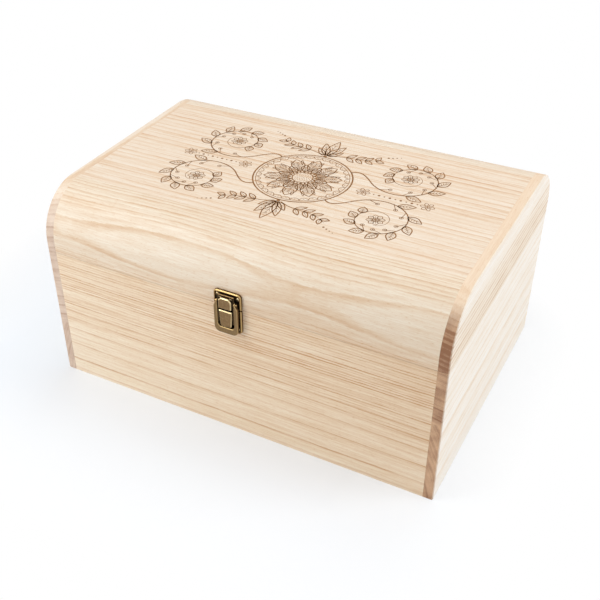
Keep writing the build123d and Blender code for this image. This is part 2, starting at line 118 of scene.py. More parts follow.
# ---- node helpers ----
class Nodes:
    """A node tree whose nodes are added and linked one expression at a time."""

    def __init__(self, tree):
        self.tree = tree
        self.tree.nodes.clear()

    def add(self, kind, inputs, output=0, **settings):
        node = self.tree.nodes.new(kind)
        for key, value in settings.items():
            setattr(node, key, value)
        for key, value in inputs.items():
            self.put(node.inputs[key], value)
        return node.outputs[output]

    def put(self, socket, value):
        if isinstance(value, bpy.types.NodeSocket):
            self.tree.links.new(value, socket)
        else:
            socket.default_value = value

    def show(self, kind, shader):
        """Ends the tree with an output node of this kind."""
        node = self.tree.nodes.new(kind)
        self.put(node.inputs["Surface"], shader)

    def math(self, operation, first, second=0.0, third=0.0, clamp=False):
        inputs = {0: first, 1: second, 2: third}
        return self.add("ShaderNodeMath", inputs, operation=operation, use_clamp=clamp)

    def remap(self, value, start, end, low=0.0, high=1.0, kind="LINEAR"):
        """Turns the run from start to end into the run from low to high, and stops at its ends."""
        inputs = {0: value, 1: start, 2: end, 3: low, 4: high}
        return self.add("ShaderNodeMapRange", inputs, interpolation_type=kind)

    def vary(self, base, noise, amount, middle=0.5, clamp=False):
        """A value that a noise raises above its middle level and lowers below it."""
        return self.math("MULTIPLY_ADD", self.math("SUBTRACT", noise, middle), amount, base, clamp)

    def scaled(self, vector, factor):
        return self.add("ShaderNodeVectorMath", {0: vector, 3: factor}, operation="SCALE")

    def combine(self, x, y, z):
        return self.add("ShaderNodeCombineXYZ", {0: x, 1: y, 2: z})

    def split(self, vector):
        node = self.tree.nodes.new("ShaderNodeSeparateXYZ")
        self.put(node.inputs[0], vector)
        return node.outputs[0], node.outputs[1], node.outputs[2]

    def noise(self, vector, scale=1.0, detail=2.0, roughness=0.5):
        inputs = {"Vector": vector, "Scale": scale, "Detail": detail, "Roughness": roughness}
        return self.add("ShaderNodeTexNoise", inputs)

    def ramp(self, value, stops):
        """A colour ramp. stops is a list of (position, colour or grey level)."""
        node = self.tree.nodes.new("ShaderNodeValToRGB")
        elements = node.color_ramp.elements
        while len(elements) < len(stops):
            elements.new(0.5)
        for element, (position, colour) in zip(elements, stops):
            element.position = position
            element.color = colour if isinstance(colour, tuple) else (colour, colour, colour, 1)
        self.put(node.inputs[0], value)
        return node.outputs[0]

    def mix(self, factor, first, second):
        """A mix of two colours."""
        node = self.tree.nodes.new("ShaderNodeMix")
        node.data_type = "RGBA"
        self.put(node.inputs[0], factor)
        self.put(node.inputs[6], first)
        self.put(node.inputs[7], second)
        return node.outputs[2]

    def seen(self):
        """1 on rays that show a thing, also by reflection, and 0 on rays that carry its light on."""
        seen = self.add("ShaderNodeLightPath", {}, "Is Camera Ray")
        for kind in ("Is Glossy Ray", "Is Transmission Ray"):
            seen = self.math("MAXIMUM", seen, self.add("ShaderNodeLightPath", {}, kind))
        return seen


class Shader(Nodes):
    """The node tree of a new material."""

    def __init__(self, name):
        self.material = bpy.data.materials.new(name)
        self.material.use_nodes = True
        super().__init__(self.material.node_tree)

    def metres(self):
        """The place on the object itself, which stays the same when the object moves."""
        return self.add("ShaderNodeTexCoord", {}, "Object")

    def millimetres(self):
        return self.scaled(self.metres(), 1 / MM)

    def normal(self):
        """The normal's x, y and z on the object itself."""
        return self.split(self.add("ShaderNodeTexCoord", {}, "Normal"))

    def bumps(self, height, strength, rise, **more):
        """A normal that follows a height. rise is what 1 in the height stands for, in millimetres."""
        inputs = {"Strength": strength, "Distance": rise * MM, "Height": height}
        return self.add("ShaderNodeBump", inputs | more)

    def surface(self, colour, roughness, normal, metallic=0.0, specular=0.5):
        shader = self.add("ShaderNodeBsdfPrincipled", {
            "Base Color": colour,
            "Roughness": roughness,
            "Normal": normal,
            "Metallic": metallic,
            "Specular IOR Level": specular,
        })
        self.show("ShaderNodeOutputMaterial", shader)


# ---- wood ----
# Noises drawn out along the grain: length along it, width across it, and detail.
PATCH = (150.0, 14.0, 3.0)
STREAK = (34.0, 1.3, 3.0)
FIBRE = (9.0, 0.6, 2.0)
PORE = (3.6, 0.8, 2.0)
JAG = (7.0, 1.4, 2.0)
CHAR = (12.0, 0.7, 3.0)
# How far each of them moves the tone, from 0 for pale to 1 for dark.
PATCH_SHARE = 0.36
STREAK_SHARE = 0.5
FIBRE_SHARE = 0.34
FLECK_DARKNESS = 0.34
PLAIN_TONE = 0.13
# Over what length and width a late-wood line fades and deepens.
FADE_LENGTH = 30.0
FADE_WIDTH = 1.6
# How strongly lines, the darkening run, vessels and stains show on the end grain.
PLAIN_CUT_TONE = 0.1
CUT_LINES = 1.5
CUT_DARK_RUN = 2.4
CUT_VESSELS = 0.8
CUT_STAINS = 1.6
WOOD_ROUGHNESS = 0.38
DARK_WOOD_ROUGHER = 0.2
WOOD_SPECULAR = 0.45

# Late-wood lines, in the forms that Board tells of. A set that starts at ALWAYS fills its board.
ALWAYS = (-900, -800)
BASE_BOLD = [(107, 0.8, 0.3), (92, 0.9, 0.27), (78, 0.9, 0.38), (71, 1.0, 0.46), (60, 0.9, 0.3),
             (44, 1.0, 0.4), (27, 1.1, 0.5), (15, 3.0, 0.08), (5, 4.0, 0.1)]
BASE_FINE = [(2.4, 0.7, 0.75, 58, 90), (5.3, 1.0, 0.12, *ALWAYS), (3.3, 0.9, 0.12, *ALWAYS)]
LID_BOLD = [(40.2, 0.9, 0.25), (42.1, 0.7, 0.1), (47.5, 4.0, 0.08)]
LID_FINE = [(2.5, 0.8, 0.5, 42.3, 45.0), (1.1, 0.4, 0.08, *ALWAYS)]
TOP_FINE = [(6.3, 1.7, 0.48, *ALWAYS), (14.0, 1.3, 0.3, *ALWAYS), (2.9, 0.9, 0.2, *ALWAYS)]
SIDE_FINE = [(9.0, 2.2, 0.3, *ALWAYS), (3.1, 1.1, 0.2, *ALWAYS)]
DENSE_BAND = [(143 + 4.4 * index, 1.6, 0.36) for index in range(7)]

ALONG_X = 0
ALONG_Y = 1


class Board:
    """How one board was cut from its tree. Lengths are millimetres, and darkness runs from 0 to 1.

    along: the grain's axis. pith: the pith's place on the two other axes.
    zero: the ring that the places of lines are counted from.
    bold: (place, width, darkness) of single late-wood lines.
    fine: (spacing, width, darkness, starts, full) of sets of late-wood lines.
    tones: pale, middle and dark colour. rim_tones: the same on an end board's narrow faces.
    cut_tones: pale and dark colour of the end grain.
    sway: how far the pith swings nearer, over what wavelength, and where it is nearest.
    wander: how far the rings stray, and over what length and width they do so.
    bent: whether the board rounds a corner of the lid. Its two other axes are then its depth and
    the way round the corner.
    dark_run: where a straight darkening of the wood starts and where it is full, each as
    (length, height), and its darkness.
    """

    def __init__(self, along, pith, zero, bold, fine, tones, cut_tones, seed,
                 sway=(0.0, 400.0, 0.0), wander=(2.0, 420, 60), bent=False, rim_tones=None,
                 dark_run=None):
        self.along = along
        self.pith = pith
        self.zero = zero
        self.bold = bold
        self.fine = fine
        self.tones = tones
        self.cut_tones = cut_tones
        self.seed = seed
        self.sway = sway
        self.wander = wander
        self.bent = bent
        self.rim_tones = rim_tones
        self.dark_run = dark_run


def wood(name, board):
    s = Shader(name)
    mm = s.millimetres()
    axes = list(s.split(mm))
    length = axes.pop(board.along)
    across, height = unrolled(s, *axes) if board.bent else axes
    place = (length, across, height)
    darkness = late_wood(s, place, board)
    dark_run = darkening_along_run(s, place, board.dark_run) if board.dark_run else 0.0
    streak = stretched_noise(s, place, STREAK, board.seed)
    tone = s.math("ADD", grained(s, place, darkness, streak, board.seed), dark_run)
    normal = s.normal()
    colour = toned(s, tone, board.tones)
    # An end board's faces across x take its tones, which are painted pale as if lit; its narrow faces
    # take the rim tones.
    if board.rim_tones:
        colour = s.mix(s.math("ABSOLUTE", normal[0]), toned(s, tone, board.rim_tones), colour)
    on_end = s.remap(s.math("ABSOLUTE", normal[board.along]), 0.5, 0.9)
    colour = s.mix(on_end, colour, end_grain(s, mm, darkness, dark_run, board.cut_tones))
    relief = s.math("MULTIPLY_ADD", tone, 0.6, s.math("MULTIPLY", streak, 0.4))
    rough = s.math("MULTIPLY_ADD", tone, DARK_WOOD_ROUGHER, WOOD_ROUGHNESS)
    bumps = s.bumps(relief, strength=0.35, rise=0.2)
    s.surface(colour, rough, bumps, specular=WOOD_SPECULAR)
    return s.material


def late_wood(s, place, board):
    """The darkness of a board's late-wood lines, which fade and deepen along the grain."""
    radius = ring_radius(s, place, board)
    darkness = 0.0
    for line in board.bold:
        darkness = s.math("ADD", bold_line(s, radius, line), darkness)
    for row, lines in enumerate(board.fine):
        darkness = s.math("ADD", fine_lines(s, radius, lines, board.seed + row), darkness)
    along_ring = s.combine(
        s.math("DIVIDE", place[0], FADE_LENGTH),
        s.math("DIVIDE", radius, FADE_WIDTH),
        board.seed,
    )
    strength = s.remap(s.noise(along_ring, detail=3.0), 0.3, 0.6, low=0.35, high=1.2)
    return s.math("MULTIPLY", darkness, strength)


def grained(s, place, darkness, streak, seed):
    """The tone of a board's lines together with its patches, streaks, fibres and pores."""
    patch = stretched_noise(s, place, PATCH, seed + 3.7)
    fibre = stretched_noise(s, place, FIBRE, seed + 6.1)
    pore = stretched_noise(s, place, PORE, seed + 9.2)
    tone = darkness
    for noise, share in ((patch, PATCH_SHARE), (streak, STREAK_SHARE), (fibre, FIBRE_SHARE)):
        tone = s.vary(tone, noise, share)
    flecks = s.remap(pore, 0.58, 0.78, high=FLECK_DARKNESS)
    return s.math("ADD", s.math("ADD", tone, flecks), PLAIN_TONE, clamp=True)


def end_grain(s, mm, darkness, dark_run, cut_tones):
    """The colour of a cut across the grain, mottled by vessels and by what they soaked up."""
    vessels = s.noise(mm, scale=1.3, detail=3.0, roughness=0.7)
    stains = s.noise(mm, scale=0.07)
    tone = s.math("MULTIPLY_ADD", dark_run, CUT_DARK_RUN, PLAIN_CUT_TONE)
    tone = s.math("MULTIPLY_ADD", darkness, CUT_LINES, tone)
    tone = s.vary(tone, vessels, CUT_VESSELS, middle=0.4)
    tone = s.vary(tone, stains, CUT_STAINS, middle=0.4, clamp=True)
    return s.mix(tone, *cut_tones)


def toned(s, tone, tones):
    pale, middle, dark = tones
    return s.ramp(tone, [(0.0, pale), (MIDDLE_TONE, middle), (1.0, dark)])


def darkening_along_run(s, place, dark_run):
    """How much darker the wood is at a place along a straight run, from where it starts to darken to
    where the darkening is full.
    """
    start, end, darkness = dark_run
    run = Vector(end) - Vector(start)
    step = run / run.length_squared
    share = s.math("MULTIPLY_ADD", place[0], step.x, s.math("MULTIPLY", place[2], step.y))
    share = s.math("SUBTRACT", share, step.dot(Vector(start)), clamp=True)
    return s.math("MULTIPLY", share, darkness)


def ring_radius(s, place, board):
    """The ring at a place: its distance from the pith, strayed as grown rings stray."""
    length, across, height = place
    reach, over_length, over_width = board.wander
    swing, wavelength, nearest = board.sway
    turn = s.math("MULTIPLY", s.math("SUBTRACT", length, nearest), math.tau / wavelength)
    side = s.math("SUBTRACT", across, board.pith[0])
    side = s.math("MULTIPLY_ADD", s.math("COSINE", turn), -swing, side)
    rise = s.math("SUBTRACT", height, board.pith[1])
    radius = s.math("SQRT", s.math("MULTIPLY_ADD", side, side, s.math("MULTIPLY", rise, rise)))
    drift = stretched_noise(s, place, (over_length, over_width, 1.5), board.seed)
    ripple = stretched_noise(s, place, (over_length / 6, over_width / 6, 3.0), board.seed + 5)
    jag = stretched_noise(s, place, JAG, board.seed + 7)
    for noise, amount in ((drift, 2 * reach), (ripple, 0.2 * reach + 0.5), (jag, 0.9)):
        radius = s.vary(radius, noise, amount)
    return s.math("SUBTRACT", radius, board.zero)


def bold_line(s, radius, line):
    """One dark line, which deepens over its width and then breaks off."""
    place, width, darkness = line
    run = s.math("DIVIDE", s.math("SUBTRACT", radius, place), width)
    rising = s.remap(run, -1.6, 0.0, kind="SMOOTHSTEP")
    falling = s.remap(run, 0.05, 0.6, low=darkness, high=0.0)
    return s.math("MULTIPLY", rising, falling)


def fine_lines(s, radius, lines, seed):
    """A set of dark lines, each as strong as its own chance makes it."""
    spacing, width, darkness, starts, full = lines
    turns = s.math("DIVIDE", radius, spacing)
    share = width / spacing
    shape = s.ramp(s.math("FRACT", turns), [
        (0.0, 0.0),
        (max(1 - 2.6 * share, 0.01), 0.0),
        (max(1 - 1.1 * share, 0.02), 0.35),
        (1 - 0.45 * share, 1.0),
        (1.0, 0.0),
    ])
    ring = s.math("ADD", s.math("FLOOR", turns), seed)
    chance = s.add("ShaderNodeTexWhiteNoise", {"W": ring}, noise_dimensions="1D")
    own = s.math("MULTIPLY_ADD", chance, 0.95, 0.2)
    grown = s.remap(radius, starts, full, high=darkness)
    return s.math("MULTIPLY", s.math("MULTIPLY", shape, own), grown)


def stretched_noise(s, place, grain, seed):
    """Noise drawn out along the grain. place is (length, across, height)."""
    length, across, height = place
    over_length, over_width, detail = grain
    point = s.combine(
        s.math("DIVIDE", length, over_length),
        s.math("DIVIDE", across, over_width),
        s.math("ADD", s.math("DIVIDE", height, over_width), seed),
    )
    return s.noise(point, detail=detail, roughness=0.6)


def unrolled(s, across, height):
    """Turns a place on a rounded lid corner into its depth and its distance round the corner."""
    radius = SHOULDER_RADIUS / MM
    centre_z = TOP / MM - radius
    wall = centre_z - SEAM / MM
    out = s.math("SUBTRACT", s.math("ABSOLUTE", across), FLAT_TOP_HALF_DEPTH / MM)
    up = s.math("SUBTRACT", height, centre_z)
    angle = s.math("ARCTAN2", s.math("MAXIMUM", up, 0.0), out)
    run = s.math("MULTIPLY_ADD", angle, radius, s.math("MINIMUM", up, 0.0))
    depth = s.math("SQRT", s.math("MULTIPLY_ADD", out, out, s.math("MULTIPLY", up, up)))
    return s.math("SUBTRACT", depth, radius), s.math("ADD", run, wall)


def make_woods():
    """One timber for each board, so that no two boards share a figure."""
    base = {"along": ALONG_X, "bold": BASE_BOLD, "fine": BASE_FINE, "tones": FRONT_TONES,
            "cut_tones": LEFT_CUT}
    shoulder = {"along": ALONG_X, "bold": LID_BOLD, "fine": LID_FINE, "tones": LID_TONES,
                "cut_tones": LEFT_CUT, "bent": True}
    flat = {"along": ALONG_X, "bold": [], "fine": TOP_FINE, "tones": TOP_TONES,
            "cut_tones": LEFT_CUT}
    end = {"along": ALONG_Y, "fine": SIDE_FINE, "tones": PALE_LIT_END_TONES}
    left = {**end, "cut_tones": LEFT_CUT, "rim_tones": TOP_TONES}
    right = {**end, "cut_tones": RIGHT_CUT, "rim_tones": RIM_TONES}
    boards = {
        # The front board darkens towards its right end and its top: painted shade where the light
        # falls off.
        "front": Board(**base, pith=(0, -600), zero=600, seed=1.3,
                       dark_run=((-175, 0), (-10, 248), 0.21)),
        "back": Board(**base, pith=(0, -640), zero=660, seed=8.1, wander=(5, 380, 80)),
        "front_shoulder": Board(**shoulder, pith=(-38.2, 26), zero=0, seed=4.4,
                                sway=(1.5, 225, -50), wander=(0.7, 190, 45),
                                dark_run=((-20, 34), (-17, -14), 0.2)),
        "back_shoulder": Board(**shoulder, pith=(-39.0, 31), zero=0, seed=12.6,
                               sway=(1.3, 260, 60), wander=(0.8, 230, 50)),
        "top": Board(**flat, pith=(-700, 0), zero=700, seed=6.2, wander=(4, 400, 70)),
        "panel": Board(**flat, pith=(-500, -120), zero=500, seed=15.4, wander=(6, 300, 60)),
        "lid_right": Board(**right, bold=DENSE_BAND, pith=(30, -600), zero=600, seed=21.0,
                           dark_run=((0, 168), (0, 138), 0.2)),
        "lid_left": Board(**left, bold=[], pith=(-60, -320), zero=320, seed=24.5),
        "right_upper": Board(**right, bold=[], pith=(100, -260), zero=260, seed=27.2),
        "right_lower": Board(**right, bold=[], pith=(-60, -60), zero=60, seed=31.9),
        "left_upper": Board(**left, bold=[], pith=(-90, -280), zero=280, seed=35.3),
        "left_lower": Board(**left, bold=[], pith=(80, -70), zero=70, seed=38.8),
    }
    return {key: wood("wood_" + key, board) for key, board in boards.items()}


WOOD_OF_NODE = {
    "base_front_board": "front",
    "base_back_board": "back",
    "base_left_plank_lower": "left_lower",
    "base_left_plank_upper": "left_upper",
    "base_right_plank_lower": "right_lower",
    "base_right_plank_upper": "right_upper",
    "base_bottom_panel": "panel",
    "lid_front_shoulder": "front_shoulder",
    "lid_back_shoulder": "back_shoulder",
    "lid_top_board": "top",
    "lid_left_end": "lid_left",
    "lid_right_end": "lid_right",
}


# ---- engraved ornament on the lid: a flower medallion between leafy scrolls, in millimetres ----
ORNAMENT_CENTRE = Vector((0.5, -1.5))
ENGRAVING_RISE = 0.04
BOLD = 1.25
LINE = 0.95
FINE = 0.55
DOT_CORNERS = 12
LEAF_STEPS = 14

MEDALLION_RADIUS = 41.0
INNER_RING_RADIUS = 38.6
RING_STEPS = 120
SCALLOPS = 32
SCALLOP_FOOT = 38.0
SCALLOP_TIP = 33.6
SCALLOP_DOT = 36.4
PETALS = 10
SEED_HEAD_RADIUS = 8.6
SEEDS = 44
SEED_SPACING = 1.12
GOLDEN_TURN = math.pi * (3 - math.sqrt(5))

VOLUTE_EYE = Vector((80.0, 36.0))
VOLUTE_RADIUS = 33.0
VOLUTE_DECAY = 1.4
VOLUTE_START = math.radians(212)
VOLUTE_SWEEP = math.radians(590)
VOLUTE_STEPS = 90
VOLUTE_LEAVES = 11
VOLUTE_LEAF_LENGTH = 17.5
VOLUTE_LEAF_SHRINK = 0.7
VOLUTE_LEAF_BELLY = 3.7
# A leaf whose tip lies lower than this is left out, since it would cross its mirror copy.
LOWEST_LEAF_TIP = 4
VOLUTE_BUDS = 7
BUD_STALK = 7.5
BUD_RADIUS = 1.5

# The steps along the tendril that bear a pair of leaves, and how long these are.
TENDRIL_LEAVES = [(8, 10.0), (13, 9.4), (18, 8.6), (23, 7.6)]
PALMETTE_ROOT = Vector((0, 42.5))
# Each palmette leaf's angle, the reach of its tip, and its half width.
PALMETTE_LEAVES = [(90, 31.0, 4.4), (68, 25.0, 3.6), (47, 17.0, 2.6)]
FLORET_PLACES = (54.0, 108.0)


class Ornament:
    """Strokes and dots on a plane, drawn as flat ribbons of their own width."""

    def __init__(self):
        self.points = []
        self.faces = []

    def stroke(self, line, width, taper=False, closed=False):
        """A ribbon along a line. A tapered one thins out towards its end."""
        count = len(line)
        first = len(self.points)
        for index, point in enumerate(line):
            before = line[index - 1] if index or closed else point
            after = line[(index + 1) % count] if index < count - 1 or closed else point
            run = (after - before).normalized()
            half = width / 2 * (1 - 0.75 * index / (count - 1) if taper else 1)
            side = Vector((-run.y, run.x)) * half
            self.points += [point + side, point - side]
        for index in range(count if closed else count - 1):
            a = first + 2 * index
            b = first + 2 * ((index + 1) % count)
            self.faces.append((a, a + 1, b + 1, b))

    def dot(self, centre, radius):
        first = len(self.points)
        self.points += circle(centre, radius, DOT_CORNERS)
        self.faces.append(tuple(range(first, first + DOT_CORNERS)))

    def join(self, other, x_sign=1, y_sign=1):
        """Adds what an ornament holds so far, mirrored where a sign is -1. It may be this one."""
        first = len(self.points)
        self.points += [Vector((point.x * x_sign, point.y * y_sign)) for point in other.points]
        self.faces += [tuple(first + corner for corner in face) for face in other.faces]


def turned(radius, angle):
    return Vector((math.cos(angle), math.sin(angle))) * radius


def circle(centre, radius, count):
    return [centre + turned(radius, math.tau * index / count) for index in range(count)]


def bend(start, first, second, end, count):
    """Points on a cubic curve between two places, drawn towards two others."""
    line = []
    for index in range(count + 1):
        t = index / count
        u = 1 - t
        line.append(start * u**3 + first * 3 * u * u * t + second * 3 * u * t * t + end * t**3)
    return line


def leaf(drawn, base, tip, belly, fullness=0.85, veins=4, width=LINE):
    """A leaf or petal: an outline round a midrib with pairs of veins, or alone if veins is None."""
    axis = tip - base
    side = Vector((-axis.y, axis.x)).normalized()
    shares = [index / LEAF_STEPS for index in range(LEAF_STEPS + 1)]
    edge = [math.sin(math.pi * share**fullness) * belly for share in shares]
    left = [base + axis * share + side * reach for share, reach in zip(shares, edge)]
    right = [base + axis * share - side * reach for share, reach in zip(shares, edge)]
    drawn.stroke(left + right[-2:0:-1], width, closed=True)
    if veins is None:
        return
    drawn.stroke([base, base + axis * 0.82], FINE, taper=True)
    for vein in range(veins):
        start = 0.12 + 0.66 * vein / veins
        end = start + 0.14
        reach = math.sin(math.pi * min(end, 1) ** fullness) * belly * 0.72
        for sign in (-1, 1):
            outer = base + axis * end + side * reach * sign
            drawn.stroke([base + axis * start, outer], FINE, taper=True)


def flower(drawn, centre, petals, inner, outer, belly, turn=0.0, veins=2, width=LINE):
    for index in range(petals):
        angle = turn + math.tau * index / petals
        base = centre + turned(inner, angle)
        tip = centre + turned(outer, angle)
        leaf(drawn, base, tip, belly, fullness=1.25, veins=veins, width=width)


def medallion():
    """A ringed flower with two rows of petals round a head of seeds."""
    drawn = Ornament()
    middle = Vector((0, 0))
    drawn.stroke(circle(middle, MEDALLION_RADIUS, RING_STEPS), BOLD, closed=True)
    drawn.stroke(circle(middle, INNER_RING_RADIUS, RING_STEPS), FINE, closed=True)
    for index in range(SCALLOPS):
        angle = math.tau * (index + 0.5) / SCALLOPS
        start = turned(SCALLOP_FOOT, angle - math.pi / SCALLOPS)
        end = turned(SCALLOP_FOOT, angle + math.pi / SCALLOPS)
        near_start = turned(SCALLOP_TIP, angle - 0.07)
        near_end = turned(SCALLOP_TIP, angle + 0.07)
        drawn.stroke(bend(start, near_start, near_end, end, count=8), FINE)
        drawn.dot(turned(SCALLOP_DOT, angle), 0.45)
    half_step = math.pi / PETALS
    flower(drawn, middle, PETALS, inner=9.5, outer=32.5, belly=5.6, turn=half_step, veins=9)
    flower(drawn, middle, PETALS, inner=9.0, outer=22.0, belly=3.6, veins=6)
    flower(drawn, middle, 2 * PETALS, inner=22.5, outer=31.0, belly=1.0, turn=half_step / 2,
           veins=None, width=FINE)
    drawn.stroke(circle(middle, SEED_HEAD_RADIUS, count=48), LINE, closed=True)
    for index in range(SEEDS):
        drawn.dot(turned(SEED_SPACING * math.sqrt(index + 0.4), index * GOLDEN_TURN), 0.42)
    return drawn


def volute_line():
    """A spiral that closes in on its eye."""
    line = []
    for index in range(VOLUTE_STEPS + 1):
        share = index / VOLUTE_STEPS
        reach = VOLUTE_RADIUS * math.exp(-VOLUTE_DECAY * share)
        line.append(VOLUTE_EYE + turned(reach, VOLUTE_START + VOLUTE_SWEEP * share))
    return line


def on_volute(volute, share):
    """A place on the spiral, and its directions away from the eye and onwards along the spiral."""
    index = round(share * VOLUTE_STEPS)
    place = volute[index]
    return place, (place - VOLUTE_EYE).normalized(), (volute[index + 1] - place).normalized()


def draw_volute(drawn):
    """A spiral out of the medallion, with leaves outside it, buds inside and a flower in its eye."""
    volute = volute_line()
    entry = (volute[1] - volute[0]).normalized()
    root = turned(MEDALLION_RADIUS, math.radians(38))
    lead = bend(root, Vector((38.0, 31.0)), volute[0] - entry * 13, volute[0], count=14)
    drawn.stroke(lead[:-1] + volute, BOLD, taper=True)
    flower(drawn, VOLUTE_EYE, 8, inner=1.6, outer=7.4, belly=2.0, turn=0.4, veins=0, width=FINE)
    drawn.dot(VOLUTE_EYE, 1.2)
    for number in range(VOLUTE_LEAVES):
        base, outward, forward = on_volute(volute, 0.01 + 0.058 * number)
        size = VOLUTE_LEAF_LENGTH - VOLUTE_LEAF_SHRINK * number
        tip = base + (outward * 0.62 + forward * 0.8) * size
        if tip.y > LOWEST_LEAF_TIP:
            leaf(drawn, base, tip, VOLUTE_LEAF_BELLY)
    for number in range(VOLUTE_BUDS):
        base, outward, forward = on_volute(volute, 0.05 + 0.06 * number)
        tip = base + (forward * 0.7 - outward * 0.8) * BUD_STALK
        drawn.stroke([base, tip], FINE)
        drawn.stroke(circle(tip, BUD_RADIUS, count=20), FINE, closed=True)
        drawn.dot(tip, 0.6)


def draw_tendril(drawn):
    """A leafy sprig that runs out from the palmette's foot over the volute and ends in dots."""
    start = Vector((3.0, 43.5))
    tendril = bend(start, Vector((20, 54)), Vector((32, 44)), Vector((47, 58)), count=26)
    drawn.stroke(tendril, LINE, taper=True)
    for index, size in TENDRIL_LEAVES:
        base = tendril[index]
        run = (tendril[index + 1] - base).normalized()
        side = Vector((-run.y, run.x))
        for sign in (-1, 1):
            tip = base + (run * 0.75 + side * sign * 0.7) * size
            leaf(drawn, base, tip, belly=2.0, veins=0)
    for index in range(4):
        drawn.dot(Vector((49.5 + 3.2 * index, 63.5 + 1.6 * index)), 0.95 - 0.15 * index)


def palmette():
    """The upright spray of leaves over the medallion."""
    drawn = Ornament()
    for angle, length, belly in PALMETTE_LEAVES:
        base = PALMETTE_ROOT + turned(2.2, math.radians(angle))
        tip = PALMETTE_ROOT + turned(length, math.radians(angle))
        veins = 4 if length > 20 else 2
        leaf(drawn, base, tip, belly, veins=veins)
        if angle < 90:
            leaf(drawn, Vector((-base.x, base.y)), Vector((-tip.x, tip.y)), belly, veins=veins)
    drawn.dot(PALMETTE_ROOT, 1.6)
    return drawn


def floret_chain():
    """Two florets beside the medallion, with dots between them."""
    drawn = Ornament()
    for place in FLORET_PLACES:
        centre = Vector((place, 0))
        flower(drawn, centre, 6, inner=1.2, outer=6.0, belly=1.5, veins=None, width=FINE)
        drawn.dot(centre, 0.9)
    for index in range(9):
        drawn.dot(Vector((63.0 + 4.6 * index, 0)), 1.1 if index % 2 else 0.7)
    return drawn


def whole_ornament():
    """One corner's scroll mirrored to all four, with what lies on the axes and in the middle."""
    drawn = Ornament()
    draw_volute(drawn)
    draw_tendril(drawn)
    drawn.join(drawn, x_sign=-1)
    drawn.join(drawn, y_sign=-1)
    upright = palmette()
    upright.join(upright, y_sign=-1)
    level = floret_chain()
    level.join(level, x_sign=-1)
    for part in (upright, level, medallion()):
        drawn.join(part)
    return drawn


def burnt_wood():
    """Wood scorched by engraving: brown, with the grain still showing through."""
    s = Shader("engraved_wood")
    mm = s.millimetres()
    fibre = stretched_noise(s, s.split(mm), CHAR, 2.0)
    soot = s.noise(mm, scale=0.12, detail=3.0)
    tone = s.vary(soot, fibre, 0.9, clamp=True)
    colour = s.ramp(tone, [(0.15, BURNT_DARK), (0.5, BURNT_MIDDLE), (0.85, BURNT_PALE)])
    bumps = s.bumps(fibre, strength=0.3, rise=0.1)
    s.surface(colour, roughness=0.85, normal=bumps, specular=0.1)
    return s.material


def make_engraving():
    drawn = whole_ornament()
    height = TOP / MM + ENGRAVING_RISE
    x_shift, y_shift = ORNAMENT_CENTRE
    points = [((point.x + x_shift) * MM, (point.y + y_shift) * MM, height * MM)
              for point in drawn.points]
    mesh = bpy.data.meshes.new("lid_engraving")
    mesh.from_pydata(points, [], drawn.faces)
    face_upwards(mesh)
    mesh.materials.append(burnt_wood())
    engraving = bpy.data.objects.new("lid_engraving", mesh)
    bpy.context.collection.objects.link(engraving)
    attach(engraving, "lid")


def face_upwards(mesh):
    form = bmesh.new()
    form.from_mesh(mesh)
    bmesh.ops.recalc_face_normals(form, faces=form.faces)
    for face in form.faces:
        if face.normal.z < 0:
            face.normal_flip()
    form.to_mesh(mesh)
    form.free()


# ---- metal ----
# Each bronze's three colours, the heights over the wood, in mm, between which its hollows' tone
# turns to its faces', and the width, in mm, of its bright edges, which are partly rubbed wear and
# partly a painted highlight.
BRONZES = {
    "plate": {"hollow": BLACKENED, "face": srgb(130, 100, 62), "rubbed_and_highlit": GOLD,
              "proud": (1.28, 1.5), "bright_edge_width": 0.18},
    "face": {"hollow": srgb(84, 64, 42), "face": srgb(132, 106, 74), "rubbed_and_highlit": CREAM,
             "proud": (2.6, 5.4), "bright_edge_width": 0.35},
    "lever": {"hollow": srgb(90, 70, 48), "face": srgb(134, 110, 78), "rubbed_and_highlit": OLIVE,
              "proud": (2.2, 4.4), "bright_edge_width": 0.3},
    "loop": {"hollow": BLACKENED, "face": srgb(74, 58, 40), "rubbed_and_highlit": srgb(140, 112, 74),
             "proud": (1.4, 4.6), "bright_edge_width": 0.2},
    "pin": {"hollow": BLACKENED, "face": srgb(86, 66, 44), "rubbed_and_highlit": srgb(176, 148, 104),
            "proud": (1.2, 3.0), "bright_edge_width": 0.2},
}
# Brush marks run up and down: they come close together across, and far apart along.
BRUSH_ACROSS = 3.2
BRUSH_ALONG = 0.35


